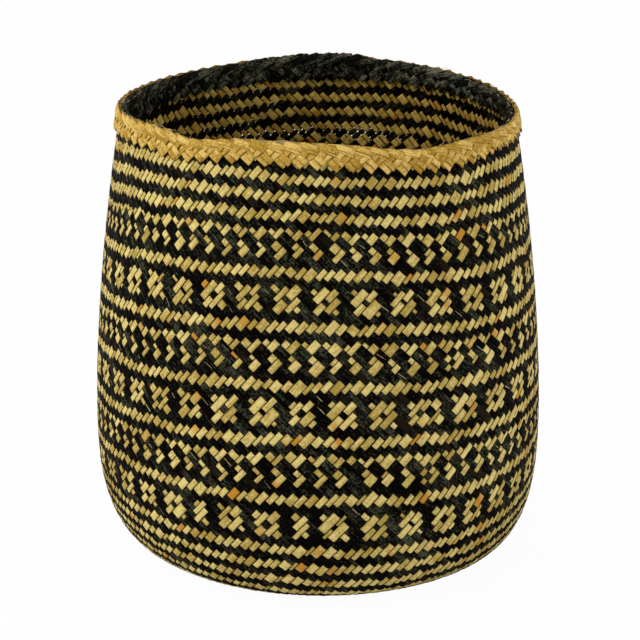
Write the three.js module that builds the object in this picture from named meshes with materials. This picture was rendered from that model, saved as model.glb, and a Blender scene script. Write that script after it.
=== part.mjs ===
// A round plaited basket with an open mouth. Two sets of flat strands make its wall, one lying over
// the other: natural strands inside, which climb to the right as seen from outside, and dyed dark
// strands outside, which climb to the left. Both sets run on under the basket as a square mat that is
// pressed into a round base. At the mouth the natural ends fold over the edge into a plaited band
// outside, and the dark ends fold into a band inside.
// The strands are shown in groups of neighbours that lie edge to edge. Millimetres, +Z up, the front
// towards -Y, and the origin on the floor under the middle of the base.
import * as THREE from 'three';

// Overall shape: height is to the mean level of the mouth's edge, radii are to the wall's outer face
const height = 314;
const bellyRadius = 156.3;
const bellyHeight = 92;
const mouthRadius = 134.2;
const footRadius = 110;
// 2 makes the curve from foot to belly an ellipse, and more makes it fuller
const footFullness = 2.6;
// The wall closes in towards the mouth as this power of the height above the belly
const mouthPull = 1.7;
// The base stands a little to the right of the wall's axis and behind it
const footShift = new THREE.Vector2(5.8, 5.5);

// The mouth's edge isn't level: it tilts once and rises twice in a turn
const mouthTilt = 2;
const mouthTiltAzimuth = 160;
const mouthLift = 3.3;
const mouthLiftAzimuth = -107;

// Strands and the mat they start from
const strandThickness = 0.9;
const clearance = 0.3;
const sides = 4;
const groupsPerSide = 3;
const linesPerGroup = 3;
// Azimuth of the middle of the base's front side
const frontSideAzimuth = -82;

// Plaited bands round the mouth
const outerBandHeight = 16;
const outerBandThickness = 1.8;
const innerBandHeight = 15;
const innerBandThickness = 1.2;
const teeth = 78;
const toothDepth = 3;

const natural = { color: 0xc8aa68, roughness: 0.7, metalness: 0 };
const naturalBand = { color: 0xd0b070, roughness: 0.65, metalness: 0 };
const dark = { color: 0x282b1d, roughness: 0.6, metalness: 0 };

// Worked out from the sizes above
const linesPerSide = groupsPerSide * linesPerGroup;
const linesAround = sides * linesPerSide;
const lineAngle = 2 * Math.PI / linesAround;
const sideAngle = 2 * Math.PI / sides;
const wallDepth = 2 * strandThickness + clearance;
const wallHeight = height - clearance - outerBandThickness;
const radians = THREE.MathUtils.degToRad;

// The wall's outer face in section, from the foot up to the mouth
class WallProfile extends THREE.Curve {
  getPoint(t, target = new THREE.Vector2()) {
    if (t < 0.5) {
      const turn = t * Math.PI;
      const power = 2 / footFullness;
      const out = Math.sin(turn) ** power;
      const down = Math.cos(turn) ** power;
      return target.set(footRadius + (bellyRadius - footRadius) * out, bellyHeight * (1 - down));
    }
    const rise = 2 * t - 1;
    const narrowing = (bellyRadius - mouthRadius) * rise ** mouthPull;
    return target.set(bellyRadius - narrowing, bellyHeight + (wallHeight - bellyHeight) * rise);
  }
}

const profile = new WallProfile();
const wallLength = profile.getLength();
// Strands cross at about a right angle at the belly
const wallRows = Math.round(wallLength * linesAround / (Math.PI * bellyRadius));

function mouthWave(azimuth) {
  const tilt = mouthTilt * Math.cos(azimuth - radians(mouthTiltAzimuth));
  const lift = mouthLift * Math.cos(2 * (azimuth - radians(mouthLiftAzimuth)));
  return tilt + lift;
}

// Shift is the share of the base's offset that this level has
function atAzimuth(azimuth, radius, level, shift) {
  const x = radius * Math.cos(azimuth) + footShift.x * shift;
  const y = radius * Math.sin(azimuth) + footShift.y * shift;
  return new THREE.Vector3(x, y, level);
}

// A point of the wall: rise is 0 at the foot and 1 at the mouth, past which the wall runs straight on.
// Depth is measured inwards from the outer face.
function wallPoint(azimuth, rise, depth) {
  const onWall = Math.min(rise, 1);
  const past = (rise - onWall) * wallLength;
  const point = profile.getPointAt(onWall);
  const tangent = profile.getTangentAt(onWall);
  const radius = point.x + tangent.x * past - tangent.y * depth;
  const level = point.y + tangent.y * past + tangent.x * depth;
  const belowBelly = point.y < bellyHeight;
  const shift = belowBelly ? (bellyRadius - point.x) / (bellyRadius - footRadius) : 0;
  return atAzimuth(azimuth, radius, level + mouthWave(azimuth) * (level / wallHeight) ** 2, shift);
}

// A point of the base: ring is 0 at the foot and linesPerSide at the centre. The square rings of the
// mat are drawn out into circles, so each side takes a quarter of every ring.
function baseAlong(line, ring) {
  return linesPerSide * (line - ring) / (linesPerSide - ring);
}

function baseRadius(ring) {
  return footRadius * (1 - ring / linesPerSide);
}

// Gives a sheet of triangles its thickness and closes it along its open edges.
// Each cell lists its corners anticlockwise as seen from outside, and place() gives a corner's point.
function thickSheet(cells, place, outerDepth, innerDepth) {
  const corners = [...new Set(cells.flat())];
  const number = new Map(corners.map((corner, index) => [corner, index]));
  const points = [outerDepth, innerDepth].flatMap((depth) => corners.map((corner) => place(corner, depth)));
  const outward = cells.map((cell) => cell.map((corner) => number.get(corner)));
  const inner = corners.length;
  const edges = new Set(outward.flatMap(([a, b, c]) => [`${a} ${b}`, `${b} ${c}`, `${c} ${a}`]));
  const index = [];
  for (const [a, b, c] of outward) {
    index.push(a, b, c, a + inner, c + inner, b + inner);
  }
  for (const edge of edges) {
    const [a, b] = edge.split(' ').map(Number);
    if (!edges.has(`${b} ${a}`)) {
      index.push(a, a + inner, b + inner, a, b + inner, b);
    }
  }
  const geometry = new THREE.BufferGeometry().setFromPoints(points);
  geometry.setIndex(index);
  geometry.computeVertexNormals();
  return geometry;
}

// A group of neighbouring strands, from the middle of the mat, round the foot and up to the mouth.
// Its corners lie where every few strands of one set cross every few of the other: line counts across
// the group and row counts along it, from below 0 on the mat to wallRows at the mouth. A natural
// group climbs towards growing azimuth, and a dark group is the same shape in a mirror.
function strandGroup(side, group, mirrored, depth) {
  const firstLine = group * linesPerGroup;
  const lastLine = firstLine + linesPerGroup;
  // A gap square to strands that lie at 45 degrees is wider along the level
  const inset = clearance * Math.SQRT1_2 / (lineAngle * footRadius);
  const corner = (line, row) => `${line} ${row}`;

  const place = (key, cornerDepth) => {
    const [line, row] = key.split(' ').map(Number);
    const inwards = (line === firstLine) - (line === lastLine);
    const across = line + inwards * inset;
    const ring = Math.min(-row, across - inset);
    const along = row < 0 ? baseAlong(across, ring) : across + row / 2;
    const fromFront = (side - 0.5) * sideAngle + along * lineAngle;
    const azimuth = radians(frontSideAzimuth) + (mirrored ? -fromFront : fromFront);
    if (row < 0) {
      return atAzimuth(azimuth, baseRadius(ring), cornerDepth, 1);
    }
    return wallPoint(azimuth, row / wallRows, cornerDepth);
  };

  const cells = [];
  for (let line = firstLine + 1; line <= lastLine; line += 1) {
    for (let row = -line; row < wallRows; row += 1) {
      const bottom = corner(line, row);
      const right = corner(line, row + 1);
      const left = corner(line - 1, row + 1);
      const top = corner(line - 1, row + 2);
      const atMouth = corner(line - 0.5, row + 1);
      const upper = row + 2 <= wallRows ? top : atMouth;
      cells.push([bottom, right, upper], [bottom, upper, left]);
    }
  }
  const outward = mirrored ? cells.map(([a, b, c]) => [a, c, b]) : cells;
  return thickSheet(outward, place, depth, depth + strandThickness);
}

// A closed ring of plaited ends with a toothed lower edge. Each row of the ring's section gives its
// distance above the wall's top edge and its depth, and the direction in which it is thick.
function rimBand(section) {
  const columns = 2 * teeth;
  const place = (key, thickness) => {
    const [column, row] = key.split(' ').map(Number);
    const { above, depth, thickUp, thickOut } = section[row];
    const tooth = row === section.length - 1 && column % 2 ? toothDepth : 0;
    const azimuth = 2 * Math.PI * column / columns;
    const rise = 1 + (above - tooth + thickUp * thickness) / wallLength;
    return wallPoint(azimuth, rise, depth - thickOut * thickness);
  };
  const cells = [];
  for (let column = 0; column < columns; column += 1) {
    const next = (column + 1) % columns;
    for (let row = 0; row + 1 < section.length; row += 1) {
      const upper = [`${column} ${row}`, `${next} ${row}`];
      const lower = [`${column} ${row + 1}`, `${next} ${row + 1}`];
      cells.push([lower[0], lower[1], upper[1]], [lower[0], upper[1], upper[0]]);
    }
  }
  return { cells, place };
}

// The natural ends: over the wall's top edge and down its outer face
function outerBand() {
  const { cells, place } = rimBand([
    { above: clearance, depth: wallDepth, thickUp: 1, thickOut: 0 },
    { above: clearance, depth: -clearance, thickUp: 1, thickOut: 1 },
    { above: -outerBandHeight, depth: -clearance, thickUp: 0, thickOut: 1 },
  ]);
  return thickSheet(cells, place, outerBandThickness, 0);
}

// The dark ends: down the wall's inner face, level with the outer band's top
function innerBand() {
  const { cells, place } = rimBand([
    { above: clearance + outerBandThickness, depth: wallDepth + clearance, thickUp: 0, thickOut: -1 },
    { above: -innerBandHeight, depth: wallDepth + clearance, thickUp: 0, thickOut: -1 },
  ]);
  return thickSheet(cells, place, 0, innerBandThickness);
}

function piece(name, geometry, finish) {
  const mesh = new THREE.Mesh(geometry, new THREE.MeshStandardMaterial(finish));
  mesh.name = name;
  return mesh;
}

const basket = new THREE.Group();
for (let side = 0; side < sides; side += 1) {
  for (let group = 0; group < groupsPerSide; group += 1) {
    const number = String(side * groupsPerSide + group + 1).padStart(2, '0');
    const inside = strandGroup(side, group, false, strandThickness + clearance);
    const outside = strandGroup(side, group, true, 0);
    basket.add(piece(`natural_strands_${number}`, inside, natural));
    basket.add(piece(`dark_strands_${number}`, outside, dark));
  }
}
basket.add(piece('rim_outer_band', outerBand(), naturalBand));
basket.add(piece('rim_inner_band', innerBand(), dark));

export default basket;
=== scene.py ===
"""A round seagrass basket, plaited from natural and dyed strands, on a plain white stage."""
import math
import bpy
import numpy as np
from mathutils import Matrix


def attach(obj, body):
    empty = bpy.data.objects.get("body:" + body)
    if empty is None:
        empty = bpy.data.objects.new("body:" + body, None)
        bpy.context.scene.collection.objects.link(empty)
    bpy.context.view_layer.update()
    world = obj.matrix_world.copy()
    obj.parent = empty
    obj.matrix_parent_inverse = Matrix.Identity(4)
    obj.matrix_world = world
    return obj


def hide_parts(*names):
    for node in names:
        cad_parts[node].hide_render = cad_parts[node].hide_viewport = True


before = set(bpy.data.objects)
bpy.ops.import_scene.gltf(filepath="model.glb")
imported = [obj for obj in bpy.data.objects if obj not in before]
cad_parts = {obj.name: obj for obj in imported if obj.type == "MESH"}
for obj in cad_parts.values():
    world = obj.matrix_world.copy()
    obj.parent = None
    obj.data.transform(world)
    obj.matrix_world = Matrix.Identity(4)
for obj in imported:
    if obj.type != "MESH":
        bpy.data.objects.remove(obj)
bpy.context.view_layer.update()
rng = np.random.default_rng(7)

# The basket is in millimetres, and angles round it are counted from the front towards the right
MM = 0.001

# Overall shape, as in the CAD: radii are to the wall's outer face
HEIGHT = 314
BELLY_RADIUS = 156.3
BELLY_HEIGHT = 92
MOUTH_RADIUS = 134.2
MOUTH_PULL = 1.7
FOOT_RADIUS = 110
FOOT_FULLNESS = 2.6
FOOT_SHIFT = (5.8, 5.5)
MOUTH_TILT = 2
MOUTH_TILT_AZIMUTH = math.radians(160)
MOUTH_LIFT = 3.3
MOUTH_LIFT_AZIMUTH = math.radians(-107)
MAT_FACING = math.radians(8)
# The band folded over the mouth's edge stands this high above the wall in the CAD
FOLD_HEIGHT = 2.1
WALL_HEIGHT = HEIGHT - FOLD_HEIGHT
WALL_DEPTH = 2.1

# The mouth's edge itself also sinks on either side of the front: how far, at what angle in degrees and
# how wide. The dips fade out down the wall over their reach, and grow no more above their ceiling.
MOUTH_DIPS = ((3.6, -35, 9), (3.4, 27, 13))
DIP_REACH = 7
DIP_CEILING = 4

# The mat has four sides, and each side sends up this many natural and this many dyed strands
SIDES = 4
PER_SIDE = 39
AROUND = SIDES * PER_SIDE
HALF_COLUMNS = 2 * AROUND
PIECES_PER_SIDE = 3
PER_PIECE = PER_SIDE // PIECES_PER_SIDE
# The square in the middle of the mat reaches this share of a round one's radius
MAT_REACH = 0.88

# Rows of crossings from the foot to the mouth and to the rim band's lower edge, and the height of one
ROWS = 104
PATTERN_ROWS = 101
ROW_HEIGHT = 3.177

STRAND_THICKNESS = 0.46
MEAN_BREADTH = 4.4
# Shares of the mean width that strands have before every three neighbours are made to take the room of
# three, which keeps the columns of the pattern in their places
WIDTHS = (0.5, 1.5)
BALANCED = 3
# Shares of its own room that a strand may fill: light shows between the natural strands
NATURAL_COVER = (0.84, 0.95)
DYED_COVER = (1, 1.07)
# How far a strand moves out and in as it passes over and under, and how much further at the middle
RELIEF = 0.42
BULGE = 0.2
# The points of a strand at each crossing, as shares of the way across it, and which is the middle one
IN_CROSSING = np.array([0.15, 0.5, 0.85])
AT_MIDDLE = np.array([0, 1, 0])
# At this level the strands are narrower, by up to this share, over about this height each way. It
# grows from none beside the axis to all of it this far behind.
LOOSE_LEVEL = 259
LOOSE_SHARE = 0.2
LOOSE_REACH = 5
LOOSE_FROM_AXIS = 60
# Keeps a length that is divided by above 0
TINY = 1e-6

# The half column that stands at the front, at the foot
PATTERN_START = 34
# Half columns that the columns lean to the left with every row up
COLUMN_LEAN = 0.117


# Shape of the wall

# Points of the wall's section as it is drawn, and as it is kept at even steps
DRAWN_POINTS = 4001
EVEN_POINTS = 1201


def wall_section():
    """Arc length from the foot, radius and level of the wall's outer face, at even steps of arc."""
    t = np.linspace(0, 1, DRAWN_POINTS)
    lower = t < 0.5
    turn = np.minimum(t, 0.5) * np.pi
    power = 2 / FOOT_FULLNESS
    out = np.sin(turn) ** power
    down = np.maximum(np.cos(turn), 0) ** power
    rise = np.maximum(2 * t - 1, 0)
    narrowing = (BELLY_RADIUS - MOUTH_RADIUS) * rise ** MOUTH_PULL
    foot_radius = FOOT_RADIUS + (BELLY_RADIUS - FOOT_RADIUS) * out
    foot_level = BELLY_HEIGHT * (1 - down)
    wall_level = BELLY_HEIGHT + (WALL_HEIGHT - BELLY_HEIGHT) * rise
    radius = np.where(lower, foot_radius, BELLY_RADIUS - narrowing)
    level = np.where(lower, foot_level, wall_level)
    steps = np.hypot(np.diff(radius), np.diff(level))
    arc = np.concatenate([[0], np.cumsum(steps)])
    even = np.linspace(0, arc[-1], EVEN_POINTS)
    return even, np.interp(even, arc, radius), np.interp(even, arc, level)


ARC, RADIUS, LEVEL = wall_section()
LENGTH = ARC[-1]
SLOPE_OUT = np.gradient(RADIUS, ARC)
SLOPE_UP = np.gradient(LEVEL, ARC)


def wrapped(turn):
    """The same angle, at most half a turn to the left or right of the front."""
    return (turn + math.pi) % (2 * math.pi) - math.pi


def bumps(turn, *parts):
    """Smooth bumps round the basket. Each has a height and, in degrees, its place and its width."""
    degrees = np.degrees(wrapped(turn))
    return sum(height * np.exp(-((degrees - place) / width) ** 2) for height, place, width in parts)


def mouth_wave(turn):
    """How far the mouth's edge rises above its mean level, as in the CAD."""
    azimuth = turn - math.pi / 2
    tilt = MOUTH_TILT * np.cos(azimuth - MOUTH_TILT_AZIMUTH)
    lift = MOUTH_LIFT * np.cos(2 * (azimuth - MOUTH_LIFT_AZIMUTH))
    return tilt + lift


def surface(turn, arc, depth):
    """Points and outward directions. The arc runs up from the foot and is negative on the base, and
    depth is measured inwards from the outer face."""
    on_wall = np.clip(arc, 0, LENGTH)
    out = np.where(arc < 0, 1, np.interp(on_wall, ARC, SLOPE_OUT))
    up = np.where(arc < 0, 0, np.interp(on_wall, ARC, SLOPE_UP))
    past = arc - on_wall
    radius = np.interp(on_wall, ARC, RADIUS)
    level = np.interp(on_wall, ARC, LEVEL)
    foot_share = (BELLY_RADIUS - radius) / (BELLY_RADIUS - FOOT_RADIUS)
    shift = np.where(level < BELLY_HEIGHT, foot_share, 0)
    radius = radius + out * past - up * depth
    level = level + up * past + out * depth
    dip = bumps(turn, *MOUTH_DIPS) * np.exp(np.minimum(level - WALL_HEIGHT, DIP_CEILING) / DIP_REACH)
    level = level + mouth_wave(turn) * (np.maximum(level, 0) / WALL_HEIGHT) ** 2 - dip
    x = radius * np.sin(turn) + FOOT_SHIFT[0] * shift
    y = -radius * np.cos(turn) + FOOT_SHIFT[1] * shift
    points = np.stack([x, y, level], axis=-1)
    normals = np.stack([up * np.sin(turn), -up * np.cos(turn), -out], axis=-1)
    return points, normals


# Where the strands lie

def column_turn(column, row):
    """The angle of a column at a row. Columns lean to the left as they climb, and aren't all of one
    width: the numbers, in half columns, fit those in the photograph."""
    rise = np.clip(row / ROWS, 0, 1)
    half = 2 * column - PATTERN_START
    around = (half + AROUND) % HALF_COLUMNS - AROUND
    phase = (half - COLUMN_LEAN * row) * math.pi / AROUND
    # On the right, from about a third of the way up, the columns stand further over
    spread = 5.2 * np.exp(-((around - 59) / 21) ** 2) * np.clip((rise - 0.37) / 0.1, 0, 1)
    shift = 8.7 * rise - 5.5 * rise ** 2 - 1.1 + spread
    once = np.sin(phase) * (11.8 * rise - 14.4 * rise ** 2 - 2.3)
    twice = np.sin(2 * phase) * (3 * rise - 0.2)
    return phase + (shift + once + twice) * math.pi / AROUND


def row_shift(turn, row):
    """How far rows lie above their even places. They climb to the left, bow up in the middle of the
    front, and under the rim band they sag on the left and at the back and rise on the right. The
    numbers, in millimetres, fit the rows in the photograph."""
    rise = np.clip(row / ROWS, 0, 1)
    low = 1 - rise
    middle = rise * low
    sway = 10.7 - 29.7 * rise + 40.8 * rise ** 2 - 17.9 * rise ** 3
    lean = np.sin(turn) * (25.1 * middle - 3 * low - 3.1 * rise)
    bow = np.cos(2 * turn) * (48.1 * middle - 16.2 * low - 1.6 * rise)
    twist = np.sin(2 * turn) * (2.9 * rise - 5.3)
    corners = 1.9 * np.cos(4 * turn) * low
    left = 2.8 * np.maximum(np.cos(turn + 0.75), 0) ** 4 + bumps(turn, (5, -80, 15))
    right = bumps(turn, (3.4, 60, 17))
    back = 3 * np.maximum(-np.cos(turn), 0) ** 2
    # What is only seen near the band sets in over the upper quarter of the wall
    near_band = np.clip((rise - 0.72) / 0.25, 0, 1)
    return sway + lean + bow + twist + corners - near_band * (left + back - right)


def woven_place(natural_line, dyed_line, side, lift):
    """Points and outward directions where a natural and a dyed line meet. A strand keeps its line from
    end to end. The difference of the two is the row, counted up from the foot, and their mean is the
    column. Rows below 0 are on the mat, which is square at its middle and drawn out into a circle."""
    row = dyed_line - natural_line
    across = natural_line - side * PER_SIDE
    along = dyed_line - side * PER_SIDE
    on_base = row < 0
    ring = np.where(on_base, (PER_SIDE - across + along) / PER_SIDE, 1)
    ring = np.maximum(ring, TINY)
    share = np.where(on_base, along / (PER_SIDE * ring), 0)
    column = np.where(on_base, (side + share) * PER_SIDE, (natural_line + dyed_line) / 2)
    turn = column_turn(column, np.maximum(row, 0))
    arc = np.where(on_base, FOOT_RADIUS * (ring - 1), ROW_HEIGHT * row) + row_shift(turn, row) * ring
    points, normals = surface(turn, arc, WALL_DEPTH / 2 - lift)
    facing = MAT_FACING + side * math.pi / 2
    reach = MAT_REACH * FOOT_RADIUS * ring
    sideways = reach * (2 * share - 1)
    square_x = FOOT_SHIFT[0] + reach * np.sin(facing) + sideways * np.cos(facing)
    square_y = FOOT_SHIFT[1] - reach * np.cos(facing) + sideways * np.sin(facing)
    round_share = np.where(on_base, ring ** 2, 1)
    points[..., 0] = square_x + (points[..., 0] - square_x) * round_share
    points[..., 1] = square_y + (points[..., 1] - square_y) * round_share
    return points, normals


# The pattern, by row down from the rim band and by half column

# Plain rows, then three bands of a zigzag and a row of diamonds, then plain rows again
BANDS = 3
BAND_ROWS = 23
FIRST_BAND = 14
LAST_PLAIN = FIRST_BAND + BANDS * BAND_ROWS
# Plain rows are a twill: two rows with the natural strands outside, then two with the dyed ones
TWILL_REPEAT = 4
FIRST_TWILL = 2

# Rows within a band, counted from its top
ZIGZAG_STEMS = (1, 3, 5)
ZIGZAG_TURN = 4
# Half columns from one line of a zigzag to the next
ZIGZAG_REPEAT = 4
LEVEL_LINES = (8, 9, 19, 20)
DIAMOND_TOP = 12
DIAMOND_MIDDLE = 14
DIAMOND_BOTTOM = 16
# Strands that a diamond is wide, but for a few
DIAMOND_STRANDS = 3


def diamonds(start, count, changes):
    """For each half column, its place in its diamond and that diamond's width in strands. The changes
    give the widths of single diamonds by their number."""
    place = np.zeros(HALF_COLUMNS, int)
    width = np.zeros(HALF_COLUMNS, int)
    left = start
    for index in range(count):
        strands = changes.get(index, DIAMOND_STRANDS)
        span = 2 * strands + 2
        for step in range(span):
            place[(left + step) % HALF_COLUMNS] = step
            width[(left + step) % HALF_COLUMNS] = strands
        left += span
    return place, width


DIAMONDS = [
    diamonds(PATTERN_START - 51, 39, {}),
    diamonds(PATTERN_START - 50, 39, {9: 4, 27: 2}),
    diamonds(PATTERN_START - 57, 40, {4: 2, 7: 2, 22: 2, 31: 2}),
]
ZIGZAG_STARTS = [PATTERN_START + 3, PATTERN_START, PATTERN_START + 3]
# Between these half columns, counted from the front to the right, a zigzag stands two of them off
ZIGZAG_SLIPS = [(0, 0), (33, 166), (11, 26)]


def natural_outside(natural, dyed):
    """True where the natural strand passes outside the dyed one."""
    row = PATTERN_ROWS - (dyed - natural)
    half = natural + dyed + 1
    band = np.clip((row - FIRST_BAND) // BAND_ROWS, 0, BANDS - 1)
    step = row - FIRST_BAND - band * BAND_ROWS
    around = (half - PATTERN_START) % HALF_COLUMNS
    slip_from, slip_to = np.array(ZIGZAG_SLIPS)[band].T
    zig_start = np.array(ZIGZAG_STARTS)[band] + 2 * ((around >= slip_from) & (around < slip_to))
    on_line = (half - zig_start) % ZIGZAG_REPEAT == 0
    beside = (half - zig_start - 1) % ZIGZAG_REPEAT == 0
    zigzag = (step == 0) | (np.isin(step, ZIGZAG_STEMS) & on_line) | ((step == ZIGZAG_TURN) & beside)
    place = np.choose(band, [places[half % HALF_COLUMNS] for places, _ in DIAMONDS])
    width = np.choose(band, [widths[half % HALF_COLUMNS] for _, widths in DIAMONDS])
    inside = (place > 0) & (place < 2 * width)
    at_ends = (place == 1) | (place == 2 * width - 1)
    in_diamond = (step >= DIAMOND_TOP) & (step <= DIAMOND_BOTTOM)
    diamond = inside & np.where(step == DIAMOND_MIDDLE, at_ends, in_diamond)
    banded = zigzag | diamond | np.isin(step, LEVEL_LINES)
    above = (row - FIRST_TWILL) % TWILL_REPEAT < TWILL_REPEAT / 2
    below = (row - LAST_PLAIN) % TWILL_REPEAT < TWILL_REPEAT / 2
    return np.where(row < FIRST_BAND, above, np.where(row >= LAST_PLAIN, below, banded))


def strand_edges():
    """Edges between neighbouring strands. Strands differ in width, and both ends of one strand, natural
    and dyed, leave the mat at mirrored places."""
    natural, dyed = [], []
    for side in range(SIDES):
        widths = rng.uniform(*WIDTHS, (PER_SIDE // BALANCED, BALANCED))
        widths = (widths / widths.mean(axis=1, keepdims=True)).ravel()
        edges = np.concatenate([[0], np.cumsum(widths)])
        natural.append(side * PER_SIDE + edges[:-1])
        dyed.append((side - 1) % SIDES * PER_SIDE + PER_SIDE - edges[:0:-1])
    dyed.sort(key=lambda edges: edges[0])
    return np.concatenate(natural), np.concatenate(dyed)


NATURAL_EDGES, DYED_EDGES = strand_edges()


def edge(edges, line):
    """Where a numbered line's first edge lies, also for numbers that run on round the basket."""
    return edges[line % AROUND] + AROUND * (line // AROUND)


# Strands of the wall and the base

# Every strand's length is counted from a random start up to this, so that no two show the same fibres
FIBRE_STARTS = 1000


class Paths:
    """Centre lines of flat strands, with what the sweep and the materials need at every point."""

    def __init__(self):
        self.points = []
        self.normals = []
        self.links = []
        self.values = {"breadth": [], "tone": [], "along": []}
        self.count = 0

    def add(self, points, normals, breadth, tone):
        number = len(points)
        steps = np.linalg.norm(np.diff(points, axis=0), axis=1)
        self.points.append(points)
        self.normals.append(normals)
        self.values["breadth"].append(np.broadcast_to(breadth, number))
        self.values["tone"].append(np.full(number, tone))
        self.values["along"].append(np.concatenate([[0], np.cumsum(steps)]) + FIBRE_STARTS * rng.random())
        first = self.count + np.arange(number - 1)
        self.links.append(np.stack([first, first + 1], axis=-1))
        self.count += number

    def mesh(self, name):
        mesh = bpy.data.meshes.new(name)
        points = np.concatenate(self.points) * MM
        mesh.from_pydata(points.tolist(), np.concatenate(self.links).tolist(), [])
        facing = mesh.attributes.new("facing", "FLOAT_VECTOR", "POINT")
        facing.data.foreach_set("vector", np.concatenate(self.normals).ravel())
        for label, values in self.values.items():
            attribute = mesh.attributes.new(label, "FLOAT", "POINT")
            attribute.data.foreach_set("value", np.concatenate(values))
        return mesh


def on_strand(natural, line, others, side, lift=0):
    """woven_place() for a strand's own line and the lines of the other set."""
    lines = (line, others) if natural else (others, line)
    return woven_place(*lines, side, lift)


def square_breadth(natural, line, others, side, half_width):
    """Width square to the strand: the part of the edge-to-edge step that isn't along it."""
    ahead = on_strand(natural, line, others + 0.5, side)[0]
    behind = on_strand(natural, line, others - 0.5, side)[0]
    steps = ahead - behind
    direction = steps / np.maximum(np.linalg.norm(steps, axis=-1, keepdims=True), TINY)
    far_edge = on_strand(natural, line + half_width, others, side)[0]
    near_edge = on_strand(natural, line - half_width, others, side)[0]
    span = far_edge - near_edge
    square = span - direction * np.sum(span * direction, axis=-1, keepdims=True)
    return np.linalg.norm(square, axis=-1)


def looseness(points):
    """Share by which strands are narrower at the one level at the back where light shows through. Each
    strand takes as much of it as its tone says."""
    back = np.clip(points[..., 1] / LOOSE_FROM_AXIS, 0, 1)
    return LOOSE_SHARE * back * np.exp(-((points[..., 2] - LOOSE_LEVEL) / LOOSE_REACH) ** 2)


def woven_strand(paths, number, natural, tone):
    """One strand from the mat's diagonal, over and under its crossings, to the mouth."""
    side = number // PER_SIDE
    onwards = 1 if natural else -1
    own, crossed = (NATURAL_EDGES, DYED_EDGES) if natural else (DYED_EDGES, NATURAL_EDGES)
    low, high = edge(own, number), edge(own, number + 1)
    line = (low + high) / 2
    start = side * PER_SIDE if natural else (side + 1) * PER_SIDE - 1
    crossings = np.arange(start, number + onwards * (ROWS + 1), onwards)
    near, far = edge(crossed, crossings), edge(crossed, crossings + 1)
    if not natural:
        near, far = far, near
    outside = natural_outside(number, crossings) if natural else ~natural_outside(crossings, number)
    others = near[:, None] + (far - near)[:, None] * IN_CROSSING
    lifts = np.where(outside, 1, -1)[:, None] * (RELIEF + BULGE * AT_MIDDLE)
    others = np.concatenate([[near[0]], others.ravel()])
    lifts = np.concatenate([[0], lifts.ravel()])
    kept = onwards * (others - line) < ROWS
    others = np.append(others[kept], line + onwards * ROWS)
    lifts = np.append(lifts[kept], 0)
    cover = NATURAL_COVER if natural else DYED_COVER
    half_width = rng.uniform(*cover) * (high - low) / 2
    points, normals = on_strand(natural, line, others, side, lifts)
    breadth = square_breadth(natural, line, others, side, half_width)
    paths.add(points, normals, breadth * (1 - tone * looseness(points)), tone)


# Bands of the mouth: a plain plait of strand ends in pairs

# Each end climbs to the right, folds over the top edge and comes down to the left, where its square end
# is half of a pointed tooth. Rows of the plait count up from the notches between the teeth.
BAND_PAIRS = 78
BAND_STEPS = 3
BAND_FLATNESS = 0.16
BAND_BREADTHS = (3.9, 5.0)
FOLD_BREADTH = 2.5
IN_CELL = np.array([-0.36, 0, 0.36])
# From the middle of a pair to the middle of each of its two ends, as a share of the pair's room
HALF_OFFSET = 0.26
# How unevenly ends lie: sideways, in and out, at a tooth and at the fold
SIDE_JITTER = 0.04
OUT_JITTER = 0.16
TOOTH_JITTER = 0.08
FOLD_JITTER = 0.06
# How far ends stand out of the band where they lie over and under, at a tooth and at the fold, in
# millimetres
OVER_OUT = 0.95
UNDER_OUT = -0.6
TOOTH_OUT = 0.5
FOLD_OUT = -1.2
# Near the top edge the columns lean over and the rows draw together
TOP_LEAN = 0.04
TOP_CLOSING = 0.055
# Added to the direction that a band's strands face, which turns them a little upwards
UPWARDS = np.array([0, 0, 0.25])

# The border starts and ends at the back, where its last ends rise over the first ones: how high, between
# what angles in degrees, and over how many degrees this sets in and fades out
OVERLAP_RISE = 3
OVERLAP_FROM = 163
OVERLAP_TO = 206
OVERLAP_STEP = 3
OVERLAP_RUN = 22


def overlap_rise(turn):
    """How far the border's end stands above its start, at the back."""
    degrees = np.degrees(turn) % 360
    slow = np.clip((OVERLAP_TO - degrees) / OVERLAP_RUN, 0, 1)
    quick = np.clip((degrees - OVERLAP_FROM) / OVERLAP_STEP, 0, 1)
    return OVERLAP_RISE * slow * quick


def outer_tuck(turn):
    """How far the outer band's lower edge is drawn up, which is most at the two ends of the front. The
    numbers, in millimetres and degrees, fit that edge in the photograph."""
    degrees = np.degrees(wrapped(turn))
    left = 3.4 * np.clip((27 - degrees) / 30, 0, 1) - bumps(turn, (2.6, -40, 9))
    right = 5 * np.clip((degrees - 38) / 22, 0, 1)
    in_front = np.clip(np.cos(turn) + 1, 0, 1)
    return (left + right) * in_front


def inner_tuck(turn):
    """The inner band reaches further down on the left."""
    return bumps(turn, (-5.5, -103, 22))


# What sets the two bands apart: the depth of their middle, the way they face, where their notches lie,
# the height of a row, how much lower they hang in front, and how their lower edge is drawn up
OUTER_BAND = dict(
    depth=-1.0, outwards=1, base_arc=LENGTH - 12.2, step_height=5.5, front_drop=0, tuck=outer_tuck)
INNER_BAND = dict(
    depth=WALL_DEPTH + 1.0, outwards=-1, base_arc=LENGTH - 10, step_height=5, front_drop=0.9,
    tuck=inner_tuck)


def jitter(amount, *shape):
    return amount * rng.standard_normal(*shape)


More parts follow.
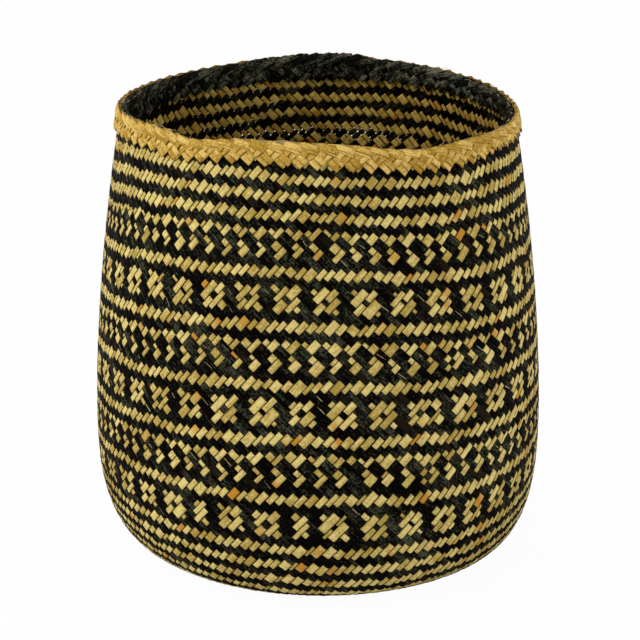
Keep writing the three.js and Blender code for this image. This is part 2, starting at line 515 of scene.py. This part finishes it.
def band_half(rising, pair, half, folds_at):
    """Place and row of one half of a pair, up from under the teeth or down to its tooth, and how far it
    stands out. Rising ends lie over the others in every odd row of cells and sinking ends in the even."""
    line = pair + HALF_OFFSET * (2 * half - 1) + jitter(SIDE_JITTER)
    cells = np.arange(BAND_STEPS).repeat(len(IN_CELL))
    within = np.tile(IN_CELL, BAND_STEPS)
    rows = pair - line + cells + within if rising else line - pair + cells + within
    over = (cells % 2 == 1) == rising
    wobble = jitter(OUT_JITTER, BAND_STEPS).repeat(len(IN_CELL))
    outs = np.where(over, OVER_OUT + np.tile(BULGE * AT_MIDDLE, BAND_STEPS), UNDER_OUT) + wobble
    if not rising:
        end = line - pair - 0.5 + jitter(TOOTH_JITTER)
        rows = np.concatenate([[end], rows])
        outs = np.concatenate([[TOOTH_OUT], outs])
    rows = np.append(rows, folds_at)
    outs = np.append(outs, FOLD_OUT)
    across = line + rows / 2 if rising else line - rows / 2
    return across, rows, outs


def band_strand(paths, pair, half, tone, depth, outwards, base_arc, step_height, front_drop, tuck):
    """One end, from under the teeth up to the fold and down to its own tooth."""
    folds_at = BAND_STEPS + jitter(FOLD_JITTER)
    up = band_half(True, pair, half, folds_at)
    down = band_half(False, pair + BAND_STEPS, half, folds_at)
    across, rows, outs = (np.concatenate([a, b[-2::-1]]) for a, b in zip(up, down))
    turns = (across - TOP_LEAN * np.maximum(rows, 0) ** 3) * 2 * math.pi / BAND_PAIRS
    up_share = rows / BAND_STEPS
    arcs = base_arc + step_height * rows * (1 - TOP_CLOSING * rows) + overlap_rise(turns) * up_share
    arcs += tuck(turns) * (1 - up_share) - front_drop * (1 + np.cos(turns))
    points, normals = surface(turns, arcs, depth - outwards * outs)
    normals = normals * outwards + UPWARDS
    fold = len(up[0]) - 1
    normals[fold] = (0, 0, 1)
    breadth = np.full(len(rows), rng.uniform(*BAND_BREADTHS))
    breadth[fold] = FOLD_BREADTH
    paths.add(points, normals, breadth, tone)


# Loose fibres

FIBRE_FLATNESS = 0.3
SLIVERS = 120
SLIVER_BREADTHS = (0.2, 0.5)
SLIVER_LIFT = RELIEF + 0.28
# Rows in which a sliver may start, how many crossings it may run along, and how far it may lie beside
# the gap between two strands and slant across it, in strands
SLIVER_ROWS = (4, ROWS - 6)
SLIVER_SPANS = (2, 5)
SLIVER_BESIDE = 0.08
SLIVER_SLANT = 0.1
EDGE_FIBRES = 90
EDGE_FIBRE_BREADTHS = (0.35, 0.9)
EDGE_FIBRE_LENGTHS = (6, 20)
EDGE_FIBRE_POINTS = 7
# How high a fibre may bow over the mouth's edge, how much its ends may differ in height, how deep it may
# lie inside the edge, and how much its ends may differ in depth
EDGE_FIBRE_BOWS = (0.3, 1.8)
EDGE_FIBRE_CLIMBS = (-1, 1)
EDGE_FIBRE_DEPTHS = (-1.6, 4)
EDGE_FIBRE_DRIFTS = (-1.2, 1.2)


def slivers(paths, wanted):
    """Fine light fibres that have come loose between dyed strands, where no natural strand shows."""
    made = 0
    while made < wanted:
        dyed = int(rng.integers(AROUND))
        row = int(rng.integers(*SLIVER_ROWS))
        length = int(rng.integers(*SLIVER_SPANS))
        crossings = dyed - row - np.arange(length)
        if natural_outside(crossings, dyed).any() or natural_outside(crossings, dyed - 1).any():
            continue
        ends = crossings[0] + 0.5 - np.linspace(0, length - 0.6, 2 * length)
        beside = rng.uniform(-SLIVER_BESIDE, SLIVER_BESIDE)
        slant = SLIVER_SLANT * rng.normal() * np.linspace(-1, 1, len(ends))
        line = edge(DYED_EDGES, dyed) + beside + slant
        points, normals = woven_place(ends, line, dyed // PER_SIDE, SLIVER_LIFT)
        paths.add(points, normals, rng.uniform(*SLIVER_BREADTHS), rng.random())
        made += 1


def edge_fibres(paths, wanted):
    """Fibres that have come loose along the mouth's edge."""
    for _ in range(wanted):
        start = rng.uniform(0, 2 * math.pi)
        length = rng.uniform(*EDGE_FIBRE_LENGTHS)
        run = np.linspace(0, 1, EDGE_FIBRE_POINTS)
        turns = start + run * length / MOUTH_RADIUS
        bow = rng.uniform(*EDGE_FIBRE_BOWS) * np.sin(run * math.pi)
        arcs = LENGTH + 0.5 + bow + rng.uniform(*EDGE_FIBRE_CLIMBS) * run + overlap_rise(turns)
        depths = rng.uniform(*EDGE_FIBRE_DEPTHS) + rng.uniform(*EDGE_FIBRE_DRIFTS) * run
        points, normals = surface(turns, arcs, depths)
        normals = normals * 0.3 + np.array([0, 0, 1])
        paths.add(points, normals, rng.uniform(*EDGE_FIBRE_BREADTHS), rng.random())


# Making the pieces

def flat_section():
    """Six corners of a strand's section for a width and thickness of 1: x is its thickness."""
    corners = [(0, -0.5), (0.5, -0.4), (0.5, 0.4), (0, 0.5), (-0.5, 0.4), (-0.5, -0.4)]
    mesh = bpy.data.meshes.new("strand_section")
    links = [(i, (i + 1) % len(corners)) for i in range(len(corners))]
    mesh.from_pydata([(x, y, 0) for x, y in corners], links, [])
    for label, axis in (("across", 1), ("outer", 0)):
        attribute = mesh.attributes.new(label, "FLOAT", "POINT")
        attribute.data.foreach_set("value", [corner[axis] for corner in corners])
    section = bpy.data.objects.new("strand_section", mesh)
    bpy.context.scene.collection.objects.link(section)
    return section


class Tree:
    """A node tree written as calls: make() adds a node of a type with settings and socket values."""

    def __init__(self, tree):
        self.tree = tree

    def make(self, kind, settings=None, **sockets):
        node = self.tree.nodes.new(kind)
        for name, value in (settings or {}).items():
            setattr(node, name, value)
        for name, value in sockets.items():
            self.put(node.inputs[name.replace("_", " ")], value)
        return node

    def put(self, socket, value):
        if isinstance(value, Value):
            value = value.socket
        if isinstance(value, bpy.types.NodeSocket):
            self.tree.links.new(value, socket)
        else:
            socket.default_value = value


class Value:
    """A number that a node gives, to be used in plain sums."""

    def __init__(self, tree, socket):
        self.tree = tree
        self.socket = socket

    def sum(self, operation, *terms):
        node = self.tree.make("ShaderNodeMath", {"operation": operation})
        for number, term in enumerate(terms):
            self.tree.put(node.inputs[number], term)
        return Value(self.tree, node.outputs[0])

    def __add__(self, other):
        return self.sum("ADD", self, other)

    __radd__ = __add__

    def __sub__(self, other):
        return self.sum("SUBTRACT", self, other)

    def __rsub__(self, other):
        return self.sum("SUBTRACT", other, self)

    def __mul__(self, other):
        return self.sum("MULTIPLY", self, other)

    __rmul__ = __mul__

    def between(self, low, high):
        """0 at low, 1 at high, and straight between."""
        node = self.tree.make("ShaderNodeMapRange", {"clamp": True})
        for number, term in enumerate((self, low, high, 0.0, 1.0)):
            self.tree.put(node.inputs[number], term)
        return Value(self.tree, node.outputs[0])


def sweep_tree():
    """Sweeps the flat section along every path, turned by the paths' own facing directions. Flatness is
    the strands' thickness as a share of their breadth."""
    group = bpy.data.node_groups.new("flat_strands", "GeometryNodeTree")
    kinds = {"Paths": "Geometry", "Section": "Object", "Flatness": "Float", "Finish": "Material"}
    inputs = {}
    for label, kind in kinds.items():
        socket = group.interface.new_socket(label, in_out="INPUT", socket_type="NodeSocket" + kind)
        inputs[label] = socket.identifier
    group.interface.new_socket("Strands", in_out="OUTPUT", socket_type="NodeSocketGeometry")
    tree = Tree(group)
    given = group.nodes.new("NodeGroupInput").outputs
    facing = tree.make("GeometryNodeInputNamedAttribute", {"data_type": "FLOAT_VECTOR"}, Name="facing")
    breadth = tree.make("GeometryNodeInputNamedAttribute", {"data_type": "FLOAT"}, Name="breadth")
    lines = tree.make("GeometryNodeMeshToCurve", Mesh=given["Paths"])
    turned = tree.make(
        "GeometryNodeSetCurveNormal", {"mode": "FREE"},
        Curve=lines.outputs[0], Normal=facing.outputs["Attribute"])
    section = tree.make("GeometryNodeObjectInfo", Object=given["Section"])
    outline = tree.make("GeometryNodeMeshToCurve", Mesh=section.outputs["Geometry"])
    size = tree.make("ShaderNodeCombineXYZ", X=given["Flatness"], Y=MM, Z=1.0)
    sized = tree.make("GeometryNodeTransform", Geometry=outline.outputs[0], Scale=size.outputs[0])
    swept = tree.make(
        "GeometryNodeCurveToMesh", Curve=turned.outputs[0], Profile_Curve=sized.outputs[0],
        Scale=breadth.outputs["Attribute"], Fill_Caps=True)
    smooth = tree.make("GeometryNodeSetShadeSmooth", Geometry=swept.outputs[0])
    real = tree.make("GeometryNodeRealizeInstances", Geometry=smooth.outputs[0])
    finished = tree.make("GeometryNodeSetMaterial", Geometry=real.outputs[0], Material=given["Finish"])
    result = group.nodes.new("NodeGroupOutput")
    tree.put(result.inputs[0], finished.outputs[0])
    return group, inputs


SECTION = flat_section()
SWEEP, SWEEP_INPUTS = sweep_tree()


def swept_piece(name, paths, finish, flatness, replaced):
    """Runs the sweep and keeps its result as a plain mesh that stands for CAD nodes."""
    source = bpy.data.objects.new(name + "_paths", paths.mesh(name + "_paths"))
    bpy.context.scene.collection.objects.link(source)
    modifier = source.modifiers.new("flat strands", "NODES")
    modifier.node_group = SWEEP
    modifier[SWEEP_INPUTS["Section"]] = SECTION
    modifier[SWEEP_INPUTS["Flatness"]] = flatness * MM
    modifier[SWEEP_INPUTS["Finish"]] = finish
    evaluated = source.evaluated_get(bpy.context.evaluated_depsgraph_get())
    mesh = bpy.data.meshes.new_from_object(evaluated)
    source.modifiers.remove(modifier)
    bpy.data.objects.remove(source)
    mesh.name = name
    piece = bpy.data.objects.new(name, mesh)
    bpy.context.scene.collection.objects.link(piece)
    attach(piece, "root")
    if replaced:
        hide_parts(*replaced)


# Finishes

# Painted shade: what the edges of a strand, where it meets its neighbours, and its inner face, which
# looks into the dim inside of the basket, are multiplied by
EDGE_SHADE = (0.35, 0.3, 0.2, 1)
INNER_SHADE = (0.72, 0.62, 0.38, 1)
STAIN_SHARE = 0.95
CLOUDS_PER_METRE = 28.0
FIBRE_RELIEF = 0.0004
FIBRE_BUMP = 0.35


def strand_finish(name, pale, deep, stain, tones, grain, balance, edges, specular):
    """Flat plant fibre: fine lines along the strand, a tone of its own and rare stains, with painted
    shade along its edges and on its inner face, which darkens the inside of the basket. Tones and grain
    say how much strands and specks differ, edges says how strong the painted edge shade is, and more
    balance gives more of the pale colour."""
    material = bpy.data.materials.new(name)
    material.use_nodes = True
    nodes = material.node_tree
    nodes.nodes.clear()
    tree = Tree(nodes)

    def attribute(label):
        node = tree.make("ShaderNodeAttribute", {"attribute_name": label})
        return Value(tree, node.outputs["Fac"])

    def noise(place, scale=1.0, detail=2.0):
        node = tree.make("ShaderNodeTexNoise", Vector=place, Scale=scale, Detail=detail)
        return Value(tree, node.outputs[0]) - 0.5

    def at(x, y, z):
        return tree.make("ShaderNodeCombineXYZ", X=x, Y=y, Z=z).outputs[0]

    def mix(share, first, second, blend="MIX"):
        node = tree.make("ShaderNodeMix", {"data_type": "RGBA", "blend_type": blend})
        for number, value in ((0, share), (6, first), (7, second)):
            tree.put(node.inputs[number], value)
        return node.outputs[2]

    # The numbers say how fast each noise changes across and along a strand and from strand to strand
    across, along, tone = attribute("across"), attribute("along"), attribute("tone")
    clouds = noise(tree.make("ShaderNodeTexCoord").outputs["Object"], scale=CLOUDS_PER_METRE)
    fibres = noise(at(across * 12, along * 0.08, tone * 40), detail=3.0)
    patches = noise(at(along * 0.1, tone * 31, across * 0.8))
    specks = noise(at(across * 4, along * 0.7, tone * 17))
    stains = noise(at(along * 0.03, tone * 57, 3.0), detail=1.0).between(0.15, 0.2)
    # Painted shade along a strand's edges, which darkens the crevices between neighbouring strands
    edge_shade = (across * across).between(0.1, 0.25)
    # Painted shade on the strand's inner face, which stands for the dimmer light inside the basket
    inner_face_shade = attribute("outer").between(0.1, -0.1)
    broad = (tone - 0.5) * tones + patches * 1.4 + clouds * 0.8
    mixed = (broad + fibres * grain + specks * grain + balance).between(0.0, 1.0)
    colour = mix(mixed, deep + (1,), pale + (1,))
    colour = mix(stains * STAIN_SHARE, colour, stain + (1,))
    # Painted shade: the edges are multiplied by EDGE_SHADE, as strongly as edges says
    colour = mix(edge_shade * edges, colour, EDGE_SHADE, "MULTIPLY")
    # Painted shade: the inner face is multiplied by INNER_SHADE, which darkens and browns it
    colour = mix(inner_face_shade, colour, INNER_SHADE, "MULTIPLY")
    roughness = fibres * 0.25 + 0.62
    bump = tree.make("ShaderNodeBump", Strength=FIBRE_BUMP, Distance=FIBRE_RELIEF, Height=fibres)
    shader = tree.make(
        "ShaderNodeBsdfPrincipled", Base_Color=colour, Roughness=roughness, Normal=bump.outputs[0])
    shader.inputs["Specular IOR Level"].default_value = specular
    out = tree.make("ShaderNodeOutputMaterial")
    tree.put(out.inputs[0], shader.outputs[0])
    return material


STRAW = strand_finish(
    "natural straw", pale=(0.74, 0.59, 0.205), deep=(0.36, 0.24, 0.035), stain=(0.5, 0.21, 0.01),
    tones=0.8, grain=2, balance=0.47, edges=0.6, specular=0.2)
RIM_STRAW = strand_finish(
    "rim straw", pale=(0.76, 0.52, 0.14), deep=(0.36, 0.2, 0.012), stain=(0.4, 0.2, 0.02),
    tones=0.8, grain=2.2, balance=0.46, edges=0.85, specular=0.12)
DYED = strand_finish(
    "dyed straw", pale=(0.085, 0.09, 0.052), deep=(0.0012, 0.0007, 0.0005), stain=(0.012, 0.008, 0.004),
    tones=0.6, grain=2.5, balance=-0.14, edges=0.75, specular=0.02)
RIM_DYED = strand_finish(
    "dyed rim straw", pale=(0.2, 0.2, 0.13), deep=(0.0012, 0.0009, 0.0006), stain=(0.02, 0.011, 0.005),
    tones=0.8, grain=1.9, balance=-0.02, edges=0.75, specular=0.05)
FIBRE = strand_finish(
    "loose fibre", pale=(0.6, 0.5, 0.28), deep=(0.3, 0.24, 0.11), stain=(0.25, 0.17, 0.05),
    tones=0.8, grain=0.5, balance=0.5, edges=0, specular=0.25)


# The pieces

def strand_group(natural, group):
    """Thirteen neighbouring strands, which stand for one group of the CAD."""
    paths = Paths()
    side, part = divmod(group, PIECES_PER_SIDE)
    first = side * PER_SIDE + part * PER_PIECE
    for number in range(first, first + PER_PIECE):
        woven_strand(paths, number, natural, rng.random())
    # The CAD numbers its dark groups the other way round, as its dark sides are mirrored
    mirrored = (SIDES - side) % SIDES * PIECES_PER_SIDE + PIECES_PER_SIDE - 1 - part
    place = f"{(group if natural else mirrored) + 1:02d}"
    colour = "natural" if natural else "dark"
    swept_piece(
        f"{colour}_strand_group_{place}", paths, STRAW if natural else DYED,
        STRAND_THICKNESS / MEAN_BREADTH, [f"{colour}_strands_{place}"])


def mouth_band(name, node, band, finish):
    """All the ends of one colour, which stand for one band of the CAD."""
    paths = Paths()
    for pair in range(BAND_PAIRS):
        for half in (0, 1):
            band_strand(paths, pair, half, rng.random(), **band)
    swept_piece(name, paths, finish, BAND_FLATNESS, [node])


def loose_fibres():
    """The fibres, which the CAD doesn't have."""
    paths = Paths()
    slivers(paths, SLIVERS)
    edge_fibres(paths, EDGE_FIBRES)
    swept_piece("loose_slivers", paths, FIBRE, FIBRE_FLATNESS, [])


for natural in (True, False):
    for group in range(SIDES * PIECES_PER_SIDE):
        strand_group(natural, group)
mouth_band("rim_outer_plait", "rim_outer_band", OUTER_BAND, RIM_STRAW)
mouth_band("rim_inner_plait", "rim_inner_band", INNER_BAND, RIM_DYED)
loose_fibres()
bpy.data.objects.remove(SECTION)


# Stage, light and camera, in metres

FLOOR_REACH = 6.0
FLOOR_COLOUR = (0.9, 0.9, 0.9, 1)
WHITE = (1, 1, 1, 1)
# The share of plain white in what the camera sees of the floor: the rest takes the basket's shadow
FLOOR_GLOW = 0.965
ROOM_LIGHT = 0.55
LIGHTS_AIM = (0, 0, 0.15)

AXIS_OFFSET = 0.0014
AIM_LEVEL = 0.157
DISTANCE = 1.544
ELEVATION = math.radians(18.05)
SENSOR_WIDTH = 36
PICTURE_PIXELS = 640
FOCAL_PIXELS = 2200


def floor_finish():
    """A white floor that the camera sees as nearly pure white, with the basket's shadow on it."""
    material = bpy.data.materials.new("white floor")
    material.use_nodes = True
    material.node_tree.nodes.clear()
    tree = Tree(material.node_tree)
    diffuse = tree.make("ShaderNodeBsdfDiffuse", Color=FLOOR_COLOUR)
    glow = tree.make("ShaderNodeEmission", Color=WHITE, Strength=1.0)
    light_path = tree.make("ShaderNodeLightPath")
    mixed = tree.make("ShaderNodeMixShader")
    tree.put(mixed.inputs[0], Value(tree, light_path.outputs["Is Camera Ray"]) * FLOOR_GLOW)
    tree.put(mixed.inputs[1], diffuse.outputs[0])
    tree.put(mixed.inputs[2], glow.outputs[0])
    out = tree.make("ShaderNodeOutputMaterial")
    tree.put(out.inputs[0], mixed.outputs[0])
    return material


def floor_mesh():
    corners = [(-1, -1), (1, -1), (1, 1), (-1, 1)]
    mesh = bpy.data.meshes.new("floor")
    mesh.from_pydata([(x * FLOOR_REACH, y * FLOOR_REACH, 0) for x, y in corners], [], [(0, 1, 2, 3)])
    mesh.materials.append(floor_finish())
    floor = bpy.data.objects.new("floor", mesh)
    bpy.context.scene.collection.objects.link(floor)


def white_world():
    """A white room, which is darker as a light than as the camera sees it."""
    world = bpy.data.worlds.new("white room")
    bpy.context.scene.world = world
    world.use_nodes = True
    world.node_tree.nodes.clear()
    tree = Tree(world.node_tree)
    light_path = tree.make("ShaderNodeLightPath").outputs
    seen = Value(tree, light_path["Is Camera Ray"]) + Value(tree, light_path["Is Glossy Ray"])
    seen = (seen + Value(tree, light_path["Is Transmission Ray"])).between(0.0, 1.0)
    strength = seen * (1 - ROOM_LIGHT) + ROOM_LIGHT
    background = tree.make("ShaderNodeBackground", Color=WHITE, Strength=strength)
    out = tree.make("ShaderNodeOutputWorld")
    tree.put(out.inputs[0], background.outputs[0])


def aim(item, place, target):
    """Places a lamp or the camera and turns its -Z axis towards a point."""
    back = np.array(place, float) - np.array(target, float)
    back /= np.linalg.norm(back)
    side = np.cross((0, 0, 1), back)
    side /= np.linalg.norm(side)
    up = np.cross(back, side)
    matrix = np.eye(4)
    matrix[:3, :3] = np.stack([side, up, back], axis=1)
    matrix[:3, 3] = place
    item.matrix_world = matrix.T.tolist()


def area_light(name, place, size, power):
    data = bpy.data.lights.new(name, "AREA")
    data.shape = "DISK"
    data.size = size
    data.energy = power
    lamp = bpy.data.objects.new(name, data)
    bpy.context.scene.collection.objects.link(lamp)
    aim(lamp, place, LIGHTS_AIM)


def photograph_camera():
    """A camera fitted to the basket's outline in the photograph."""
    data = bpy.data.cameras.new("camera")
    data.sensor_width = SENSOR_WIDTH
    data.lens = FOCAL_PIXELS / PICTURE_PIXELS * SENSOR_WIDTH
    camera = bpy.data.objects.new("camera", data)
    bpy.context.scene.collection.objects.link(camera)
    back = -DISTANCE * math.cos(ELEVATION)
    level = AIM_LEVEL + DISTANCE * math.sin(ELEVATION)
    aim(camera, (AXIS_OFFSET, back, level), (AXIS_OFFSET, 0, AIM_LEVEL))
    bpy.context.scene.camera = camera


floor_mesh()
white_world()
area_light("key light", (-1.9, -0.9, 1.6), size=1.0, power=34)
area_light("fill light", (1.95, -0.7, 1.3), size=1.2, power=16)
photograph_camera()
bpy.context.scene.view_settings.view_transform = "Standard"
